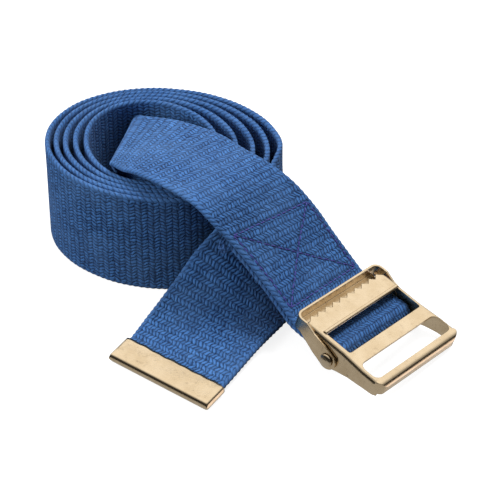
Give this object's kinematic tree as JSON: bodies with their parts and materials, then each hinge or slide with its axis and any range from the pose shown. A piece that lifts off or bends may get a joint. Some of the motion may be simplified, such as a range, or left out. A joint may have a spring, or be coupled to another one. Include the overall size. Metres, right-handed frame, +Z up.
{
  "type": "gait belt",
  "caption": "Webbing gait belt rolled on edge, with a folded metal tip and a toothed cinch buckle whose lever and frame swing on one riveted pin.",
  "frame": {"origin": "on the surface that the belt stands on, under the middle of its box", "axes": "+Z up, out of that surface; -Y towards the front, where the buckle and the tip lie; +X towards the buckle"},
  "size_m": [0.1827, 0.17, 0.0611],
  "materials": {
    "webbing": "herringbone woven cotton, matte",
    "thread": "twisted polyester sewing thread",
    "plated_steel": "pale yellow plated, smooth",
    "rivet_steel": "bright plated, smooth"
  },
  "bodies": {
    "belt": {"webbing_tail": "webbing", "webbing_coil": "webbing", "webbing_inner_turn": "webbing", "webbing_lead": "webbing", "webbing_fold": "webbing", "needle_thread": "thread", "bobbin_thread": "thread", "strap_tip": "plated_steel"},
    "frame": {"buckle_frame": "plated_steel", "pivot_pin": "rivet_steel"},
    "lever": {"buckle_lever": "plated_steel"}
  },
  "joints": [
    {"name": "frame_hinge", "type": "hinge", "parent": "belt", "child": "frame", "pos_m": [0.05196, -0.04207, 0.00815], "axis": [0.653, 0.7512, -0.0958], "range_deg": [0, 90]},
    {"name": "lever_hinge", "type": "hinge", "parent": "frame", "child": "lever", "pos_m": [0.05196, -0.04207, 0.00815], "axis": [0.653, 0.7512, -0.0958], "range_deg": [0, 60]}
  ]
}
